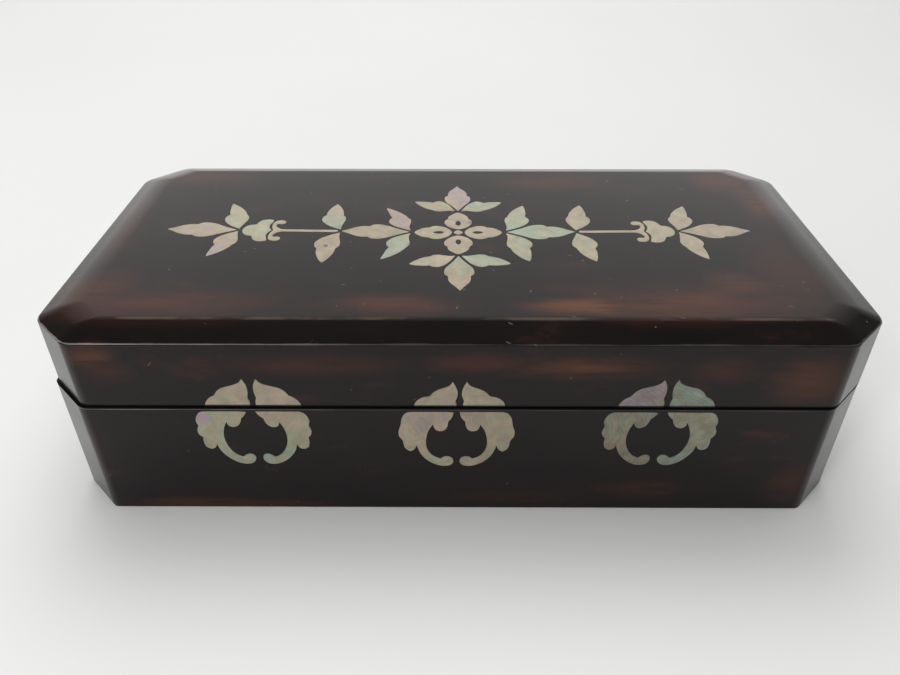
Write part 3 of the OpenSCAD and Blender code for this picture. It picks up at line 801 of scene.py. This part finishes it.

# %% Edge wear and highlight group: pale lines that are partly wear and partly painted highlight
tree, given, out = new_group(
    "edge wear and highlight",
    [PLACE, ("Arris height", "Float", 0.0), ("Cloud", "Float", 0.5),
     ("Width", "Float", 0.001)], [("Mask", "Float")])
split = add(tree, "SeparateXYZ", Vector=given["Vector"]).outputs
nearest = maths(tree, "DIVIDE", apart(tree, split["Z"], given["Arris height"]), given["Width"])
flat = add(tree, "CombineXYZ", X=maths(tree, "ABSOLUTE", split["X"]),
           Y=maths(tree, "ABSOLUTE", split["Y"])).outputs[0]
for corner in ((HALF_L, HALF_W - CORNER_CUT), (HALF_L - CORNER_CUT, HALF_W)):
    off = vectors(tree, "DISTANCE", flat, (corner[0] * MM, corner[1] * MM, 0))
    line = maths(tree, "DIVIDE", off, times(tree, given["Width"], 0.8))
    nearest = maths(tree, "MINIMUM", nearest, line)
broken = swayed(tree, nearest, 2.6, given["Cloud"])
tree.links.new(fade(tree, broken, 1.0, 0.2), out["Mask"])

# %% Seam shade group: painted shade along the seam between lid and base
tree, given, out = new_group("seam shade", [PLACE, ("Reach", "Float", 0.001)], [("Mask", "Float")])
height = add(tree, "SeparateXYZ", Vector=given["Vector"]).outputs["Z"]
thick = times(tree, given["Reach"], 0.6)
tree.links.new(fade(tree, apart(tree, height, RIM_Z * MM), given["Reach"], thick), out["Mask"])

# %% Scratches and dust group
tree, given, out = new_group("scratches and dust", [PLACE], [("Scratch", "Float"), ("Dust", "Float")])
scratch = None
for turn, scale in ((0.45, (140, 2600, 700)), (-0.8, (190, 3000, 800))):
    turned_way = add(tree, "VectorRotate", {"rotation_type": "EULER_XYZ"}, Vector=given["Vector"],
                     Rotation=(turn, turn * 0.6, turn)).outputs[0]
    cells = add(tree, "TexVoronoi", Vector=vectors(tree, "MULTIPLY", turned_way, scale), Scale=1.0)
    chosen = fade(tree, add(tree, "SeparateColor", Color=cells.outputs["Color"]).outputs[0], 0.9985, 0.9995)
    line = times(tree, fade(tree, cells.outputs["Distance"], 0.45, 0.2), chosen)
    scratch = line if scratch is None else maths(tree, "MAXIMUM", scratch, line)
tree.links.new(scratch, out["Scratch"])
cells = add(tree, "TexVoronoi", Vector=given["Vector"], Scale=420.0)
chosen = fade(tree, add(tree, "SeparateColor", Color=cells.outputs["Color"]).outputs[1], 0.975, 0.99)
speck = fade(tree, cells.outputs["Distance"], 0.13, 0.07)
tree.links.new(times(tree, speck, chosen), out["Dust"])

print("groups", sorted(g.name for g in bpy.data.node_groups))

# %% [markdown]
# ## Dark lacquer
# The top coat is a very dark brown with a soft gloss. The patches are placed where the box
# is rubbed: along the front of the top, at its corners, and on the upper half of the lid's front.
# Each has a centre, a radius along each axis, a strength and a warmth, which says how far the wear
# has gone from red-brown to orange. The back has one broad patch, and clouds of the grain do the
# rest.

# %% Rubbed places and coats
LID_RUBS = [
    ((-113, -38, 68), (17, 14, 6), 0.75, 0.25), ((-88, -46, 69), (38, 11, 3), 0.75, 0.15),
    ((-20, -47, 70), (24, 7, 3), 0.8, 0.35), ((36, -48, 70), (20, 6, 3), 0.9, 0.9),
    ((70, -45, 70), (44, 13, 3), 0.8, 0.25), ((88, -35, 70), (14, 9, 3), 0.5, 0.6),
    ((38, 44, 70), (26, 9, 3), 0.65, 0.2), ((103, 46, 69), (16, 11, 4), 0.75, 0.3),
    ((112, 26, 69), (8, 22, 4), 0.6, 0.7), ((106, -28, 69), (14, 26, 4), 0.45, 0.1),
    ((-102, 47, 69), (26, 9, 4), 0.7, 0.15), ((-118, 5, 69), (8, 34, 4), 0.35, 0.1),
    ((-107, -64, 62), (9, 7, 4.5), 0.6, 0.9), ((-103, -64, 57), (10, 7, 5), 0.5, 0.1),
    ((-45, -64, 59), (34, 7, 5), 0.6, 0.1),
    ((38, -64, 58.5), (28, 7, 5.5), 0.85, 0.75), ((8, -64, 60), (24, 7, 4), 0.7, 0.25),
    ((104, -64, 54), (14, 7, 11), 0.8, 0.35), ((76, -64, 57), (14, 7, 6), 0.5, 0.15)]
BASE_RUBS = [
    ((-78, -64, 1.5), (36, 7, 3.5), 0.75, 0.25), ((108, -64, 12), (9, 9, 11), 0.5, 0.15),
    ((60, -64, 9), (20, 7, 5), 0.35, 0.3), ((18, -64, 5), (34, 7, 5), 0.3, 0.05),
    ((-113, -60, 30), (6, 7, 12), 0.3, 0.2), ((0, 64, 12), (60, 7, 10), 0.5, 0.2)]
TOP_COAT = linear(13, 12, 12)
THIN_COAT = linear(28, 21, 20)
RED_COAT = linear(74, 34, 27)
ORANGE_COAT = linear(108, 68, 38)
# Pale bare coat for scratches and dust; it also paints the highlight on the top's front edge.
BARE_AND_HIGHLIGHT = linear(150, 128, 110)
# Pale colour of the lines along the arrises: partly wear, partly a painted highlight.
EDGE_WEAR_AND_HIGHLIGHT = linear(176, 170, 162)
# Painted shade: near black for the seam between lid and base, where the gap and the rim's ledge lie in
# shadow, and the dull roughness that goes with it.
SEAM_SHADE = linear(5, 5, 5)
SEAM_SHADE_ROUGHNESS = 0.7
print(len(LID_RUBS) + len(BASE_RUBS), "rubbed places")

# %% [markdown]
# The coats are mixed from the bottom up: grain first, then the red and orange that show through,
# pale edge lines of wear and painted highlight, painted shade at the seam, the scuffed front edge of
# the top with its painted highlight, and last the scratches and dust. The pale edge lines are
# brightest at the left, where both the wear and the painted highlight are strongest.

# %% Lacquer material
# Width of the pale arris lines, which are partly wear and partly a painted highlight.
WEAR_AND_HIGHLIGHT_WIDTH = 0.19
# Strength of the pale front edge of the top, partly scuffing and partly a painted highlight.
SCUFF_AND_HIGHLIGHT_STRENGTH = 0.22


def scuffed_and_highlit_front_edge(tree, split, cloud):
    """Mask of the top's front edge, broken by the clouds of the grain: a thin pale line that is partly
    scuffing and partly a painted highlight.
    """
    off = apart(tree, split["Y"], (BEVEL_W - HALF_W) * MM)
    on_top = fade(tree, split["Z"], (TOP_Z - 0.5) * MM, (TOP_Z - 0.2) * MM)
    scuff_and_highlight = times(tree, fade(tree, off, 0.9 * MM, 0.2 * MM), on_top)
    return times(tree, scuff_and_highlight, fade(tree, cloud, 0.46, 0.6))


def lacquer(name, rubs, offset, arris_height, shade_reach):
    """Dark lacquer with rubs in the given places; heights and sizes in millimetres."""
    material, tree, shader = new_material(name)
    where = add(tree, "TexCoord").outputs["Object"]
    where = add(tree, "Mapping", Vector=where, Location=(-offset[0] * MM, -offset[1] * MM, 0)).outputs[0]
    grain = use(tree, "brushed grain", Vector=where)
    cloud = maths(tree, "MULTIPLY_ADD", grain["Streak"], 0.35, times(tree, grain["Cloud"], 0.65))
    red, warm = fade(tree, grain["Cloud"], 0.56, 0.85), None
    for centre, radius, strength, heat in rubs:
        mask = use(tree, "rubbed patch", Vector=where, Centre=[v * MM for v in centre],
                   Radius=[v * MM for v in radius], Cloud=cloud, Strength=strength)["Mask"]
        red = maths(tree, "MAXIMUM", red, mask)
        hot = times(tree, maths(tree, "POWER", mask, 1.5), heat)
        warm = hot if warm is None else maths(tree, "MAXIMUM", warm, hot)
    wear_and_highlight = use(tree, "edge wear and highlight", Vector=where, Arris_height=arris_height * MM,
               Cloud=grain["Streak"], Width=WEAR_AND_HIGHLIGHT_WIDTH * MM)["Mask"]
    marks = use(tree, "scratches and dust", Vector=where)
    colour = mix(tree, grain["Cloud"], TOP_COAT, THIN_COAT)
    for share, low, high, coat in ((red, 0.1, 0.6, RED_COAT), (warm, 0.25, 0.65, ORANGE_COAT)):
        streaked = times(tree, share, fade(tree, grain["Streak"], low, high))
        colour = mix(tree, streaked, colour, coat)
    split = add(tree, "SeparateXYZ", Vector=where).outputs
    # Pale lines along the arris and the upright corners: partly wear, partly a painted highlight, painted
    # brightest at the left.
    left_wear_and_highlight = maths(tree, "MULTIPLY_ADD", fade(tree, split["X"], -0.01, -0.08), 0.4, 0.12)
    colour = mix(tree, times(tree, wear_and_highlight, left_wear_and_highlight), colour, EDGE_WEAR_AND_HIGHLIGHT)
    # Painted shade: the seam between lid and base is darkened to near black and made dull.
    seam_shade = use(tree, "seam shade", Vector=where, Reach=shade_reach * MM)["Mask"]
    colour = mix(tree, seam_shade, colour, SEAM_SHADE)
    # The pale front edge of the top: partly scuffing, partly a painted highlight.
    scuff_and_highlight = scuffed_and_highlit_front_edge(tree, split, grain["Cloud"])
    colour = mix(tree, times(tree, scuff_and_highlight, SCUFF_AND_HIGHLIGHT_STRENGTH), colour, BARE_AND_HIGHLIGHT)
    pale = maths(tree, "MAXIMUM", times(tree, marks["Scratch"], 0.5),
                 times(tree, marks["Dust"], 0.7))
    colour = mix(tree, pale, colour, BARE_AND_HIGHLIGHT)
    rough = maths(tree, "MULTIPLY_ADD", grain["Cloud"], 0.14, 0.14)
    rough = maths(tree, "MAXIMUM", rough, times(tree, pale, 0.6))
    rough = maths(tree, "MAXIMUM", rough, times(tree, seam_shade, SEAM_SHADE_ROUGHNESS))
    height = maths(tree, "MULTIPLY_ADD", noise(tree, where, 38, 2, 0.4), 1.0,
                   times(tree, grain["Streak"], 0.02))
    height = maths(tree, "SUBTRACT", height, times(tree, marks["Scratch"], 0.06))
    bump = add(tree, "Bump", Strength=0.6, Distance=0.0001, Height=height).outputs[0]
    feed(tree, shader, Base_Color=colour, Roughness=rough, Normal=bump, IOR=1.5,
         Specular_IOR_Level=0.25)
    return material


LID_SHADE_REACH, BASE_SHADE_REACH = 1.1, 0.45  # how far the painted seam shade reaches from the seam
lid_lacquer = lacquer("lacquer lid", LID_RUBS, LID_SHIFT, ARRIS_Z, LID_SHADE_REACH)
# The base's pale line lies just under the painted seam shade and stands in for the rim's highlight as well
# as wear.
base_lacquer = lacquer("lacquer base", BASE_RUBS, (0, 0), RIM_Z - BASE_SHADE_REACH - 0.1, BASE_SHADE_REACH)
print("made", lid_lacquer.name, "and", base_lacquer.name)

# %% [markdown]
# The inside has a thinner, redder coat with the grain of the wood showing through it, and it was
# never rubbed by hands. It is duller than the outside.

# %% Inside lacquer
inside_lacquer, tree, shader = new_material("lacquer inside")
where = add(tree, "TexCoord").outputs["Object"]
grain = use(tree, "brushed grain", Vector=where)
marks = use(tree, "scratches and dust", Vector=where)
colour = mix(tree, fade(tree, grain["Streak"], 0.3, 0.7), linear(70, 26, 20), linear(108, 42, 30))
colour = mix(tree, fade(tree, grain["Cloud"], 0.45, 0.75), colour, linear(46, 20, 17))
colour = mix(tree, marks["Dust"], colour, BARE_AND_HIGHLIGHT)
rough = maths(tree, "MULTIPLY_ADD", grain["Cloud"], 0.2, 0.32)
bump = add(tree, "Bump", Strength=0.5, Distance=0.0001, Height=grain["Streak"]).outputs[0]
feed(tree, shader, Base_Color=colour, Roughness=rough, Normal=bump, IOR=1.5)
print("made", inside_lacquer.name)

# %% [markdown]
# ## Shell
# Mother-of-pearl shows growth lines that run in wavy bands, and its colour slides from lilac pink
# over cream to pale green across them. The bands read the plate's own UV map, the tone attribute
# says where in that slide the plate lies, and a plate that was engraved has shallow curved veins.

# %% Pearl group
PEARL_SLIDE = ((0.0, (168, 154, 156)), (0.25, (176, 158, 137)), (0.5, (172, 162, 136)),
               (0.75, (164, 167, 142)), (1.0, (152, 166, 149)))
tree, given, out = new_group(
    "pearl figure", [PLACE, ("Tone", "Float", 0.5), ("Light", "Float", 1.0),
                     ("Engraving", "Float", 0.0)],
    [("Colour", "Color"), ("Height", "Float"), ("Roughness", "Float")])
swirl = add(tree, "TexNoise", Vector=given["Vector"], Scale=1.3, Detail=2.0).outputs["Color"]
swirl = add(tree, "VectorMath", {"operation": "SCALE"}, Vector=swirl, Scale=0.9).outputs[0]
bent = vectors(tree, "ADD", given["Vector"], swirl)
bands = add(tree, "TexWave", {"wave_type": "BANDS", "bands_direction": "DIAGONAL"}, Vector=bent,
            Scale=0.75, Distortion=3.0, Detail=2.0, Detail_Scale=1.2).outputs[1]
fine = noise(tree, vectors(tree, "MULTIPLY", bent, (4, 17, 1)), 1.0, 4, 0.6)
patch = noise(tree, given["Vector"], 1.6, 2, 0.5)
slide = swayed(tree, swayed(tree, given["Tone"], 0.26, bands), 0.6, patch)
ramp = add(tree, "ValToRGB", Fac=slide)
stops = ramp.color_ramp.elements
for place, colour in PEARL_SLIDE:
    stop = stops[0] if place == 0 else stops[-1] if place == 1 else stops.new(place)
    stop.color = linear(*colour)
light = swayed(tree, given["Light"], 0.45, fine)
shimmer = noise(tree, vectors(tree, "ADD", bent, (7, 3, 0)), 2.2, 2, 0.5)
light = swayed(tree, light, 0.7, shimmer)
veins = add(tree, "TexWave", {"wave_type": "RINGS", "rings_direction": "SPHERICAL"}, Vector=bent, Scale=2.1,
            Distortion=4.0, Detail=1.0, Detail_Scale=0.7).outputs[1]
cut = times(tree, fade(tree, veins, 0.78, 0.98), given["Engraving"])
light = times(tree, light, maths(tree, "MULTIPLY_ADD", cut, -0.16, 1.0))
grey = add(tree, "CombineXYZ", X=light, Y=light, Z=light).outputs[0]
tree.links.new(mix(tree, 1.0, ramp.outputs[0], grey, "MULTIPLY"), out["Colour"])
height = maths(tree, "MULTIPLY_ADD", fine, 0.3, times(tree, cut, -1.5))
tree.links.new(height, out["Height"])
tree.links.new(maths(tree, "MULTIPLY_ADD", fine, 0.2, 0.22), out["Roughness"])

# %% [markdown]
# A few marks are placed: a dark chip on one leaf, a purple spot on a petal and a lilac lobe
# on the left scroll. Each has a centre, a radius and a colour. The painted shade of the seam lies
# on the shell as it does on the lacquer.

# %% Pearl materials
STAINS = [((-44.6, -9.4, TOP_Z), 0.8, linear(60, 42, 40)), ((4.9, 8, TOP_Z), 0.9, linear(96, 66, 92)),
          ((-43, -8.6, TOP_Z), 0.4, linear(70, 50, 46)),
          ((-77.5, -HALF_W, RIM_Z - 4), 2.4, linear(176, 152, 166))]


def pearl(name, slide):
    """Shell of one tone; slide moves it a little towards green."""
    material, tree, shader = new_material(name)
    figure = add(tree, "UVMap", {"uv_map": "Figure"}).outputs[0]
    tone = add(tree, "SeparateColor", Color=add(tree, "Attribute", {
        "attribute_type": "GEOMETRY", "attribute_name": "Tone"}).outputs["Color"]).outputs
    seen = use(tree, "pearl figure", Vector=figure, Tone=maths(tree, "ADD", tone[0], slide),
               Light=tone[1], Engraving=tone[2])
    bump = add(tree, "Bump", Strength=0.5, Distance=0.00006, Height=seen["Height"]).outputs[0]
    where = add(tree, "TexCoord").outputs["Object"]
    ragged = times(tree, noise(tree, where, 900, 3, 0.6), 1.6 * MM)
    colour = seen["Colour"]
    for centre, radius, tint in STAINS:
        off = maths(tree, "ADD", vectors(tree, "DISTANCE", where, [v * MM for v in centre]), ragged)
        stain = fade(tree, off, (radius + 1.1) * MM, (radius + 0.4) * MM)
        colour = mix(tree, times(tree, stain, 0.8), colour, tint)
    # Painted shade at the seam, as on the lacquer.
    seam_shade = use(tree, "seam shade", Vector=where, Reach=LID_SHADE_REACH * MM)["Mask"]
    colour = mix(tree, seam_shade, colour, SEAM_SHADE)
    rough = maths(tree, "MAXIMUM", seen["Roughness"], times(tree, seam_shade, SEAM_SHADE_ROUGHNESS))
    feed(tree, shader, Base_Color=colour, Roughness=rough, Normal=bump, IOR=1.56)
    return material


PEARLS = {"shell_warm": pearl("shell warm", 0.0), "shell_green": pearl("shell green", 0.04),
          "shell_pink": pearl("shell pink", -0.04)}
print("made", sorted(PEARLS))

# %% [markdown]
# ## Dress the pieces
# Each shell piece takes its finish from its slot in the record, so that someone can repaint it; the boards
# are given their lacquers directly.

# %% Put the materials on
slot_of = {part["node"]: part["material_slot"] for part in frame["record"]["subparts"]}
for name, piece, _ in shell_pieces:
    piece.data.materials.clear()
    piece.data.materials.append(PEARLS[slot_of[name]])
for piece, slot, finishes in (
        (lid, "lacquer", [lid_lacquer, inside_lacquer]), (base_walls, "lacquer", [base_lacquer]),
        (liner, "lacquer_inside", [inside_lacquer]), (bottom_board, "lacquer_inside", [inside_lacquer])):
    while len(piece.data.materials) < len(finishes):
        piece.data.materials.append(None)
    for k, finish in enumerate(finishes):
        piece.data.materials[k] = finish
print("dressed", len(shell_pieces) + 4, "pieces")

# %% [markdown]
# ## Table, light and camera
# The box stands on a plain pale sheet, large enough to fill every view. Gloss and light are kept
# apart, because polished lacquer shows whatever it mirrors. The dome of the world is seen only in
# reflections: it is bright near the horizon and towards the wall behind, and dark overhead, which
# leaves the front slope black and lays a grey sheen on the flat top.

# %% Table
TABLE_HALF = 9000
bm = bmesh.new()
bmesh.ops.create_grid(bm, x_segments=1, y_segments=1, size=TABLE_HALF)
table = new_piece("table", bm)
paper, tree, shader = new_material("pale sheet")
where = add(tree, "TexCoord").outputs["Object"]
colour = mix(tree, noise(tree, where, 3, 3, 0.5), linear(236, 237, 235), linear(243, 243, 241))
feed(tree, shader, Base_Color=colour, Roughness=0.9, Specular_IOR_Level=0.2)
table.data.materials.append(paper)
print("the sheet is", 2 * TABLE_HALF * MM, "m wide")

# %% World
WALL_WAY = (0.0, 0.93, 0.36)
world = bpy.data.worlds.new("soft dome")
scene.world = world
world.use_nodes = True
world.cycles_visibility.diffuse = False
tree = world.node_tree
way = add(tree, "TexCoord").outputs["Generated"]
towards_wall = fade(tree, vectors(tree, "DOT_PRODUCT", way, WALL_WAY), 0.62, 0.93)
near_horizon = fade(tree, add(tree, "SeparateXYZ", Vector=way).outputs["Z"], 0.42, 0.05)
glow = maths(tree, "MULTIPLY_ADD", towards_wall, 0.8, 0.1)
glow = maths(tree, "MULTIPLY_ADD", near_horizon, 0.62, glow)
warm_white = add(tree, "CombineXYZ", X=glow, Y=glow, Z=times(tree, glow, 0.985))
feed(tree, tree.nodes["Background"], Color=warm_white.outputs[0], Strength=1.0)
print("world", world.name)

# %% [markdown]
# The sheet and the box are lit by lamps. Soft daylight falls from above, a window lamp lifts the
# back of the sheet, and a broad fill reaches the front. None of these shows in the gloss. A small
# lamp at the front left does, and puts the bright thread on the arris.

# %% Lamps


def lamp(name, place, aim, size, power, in_gloss):
    """A round soft lamp at place, turned towards aim."""
    data = bpy.data.lights.new(name, "AREA")
    data.shape = "DISK"
    data.size = size
    data.energy = power
    made = bpy.data.objects.new(name, data)
    made.location = place
    made.rotation_euler = (Vector(aim) - Vector(place)).to_track_quat("-Z", "Y").to_euler()
    made.visible_glossy = in_gloss
    scene.collection.objects.link(made)


daylight = bpy.data.objects.new("daylight", bpy.data.lights.new("daylight", "SUN"))
daylight.data.energy = 1.75
daylight.data.angle = math.radians(75)
daylight.rotation_euler = (math.radians(-14), 0, 0)
daylight.visible_glossy = False
scene.collection.objects.link(daylight)
lamp("window", (-0.15, 0.8, 1.3), (0, 0.5, 0), 1.1, 7.5, False)
lamp("front fill", (-0.6, -0.8, 0.9), (-0.1, 0, 0), 1.2, 4.3, False)
lamp("front left", (-0.55, -0.7, 0.75), (-0.05, 0, 0.05), 0.15, 1.4, True)

# %% Camera
camera = bpy.data.objects.new("camera", bpy.data.cameras.new("camera"))
camera.data.lens = 30.56
camera.data.sensor_width = 36
camera.data.clip_start = 0.01
camera.location = (-0.0013, -0.2396, 0.1940)
camera.rotation_euler = (math.radians(54.78), 0, math.radians(0.24))
scene.collection.objects.link(camera)
scene.camera = camera
scene.view_settings.view_transform = "Standard"
print("the camera is", round(camera.location.length, 3), "m from the middle of the foot")
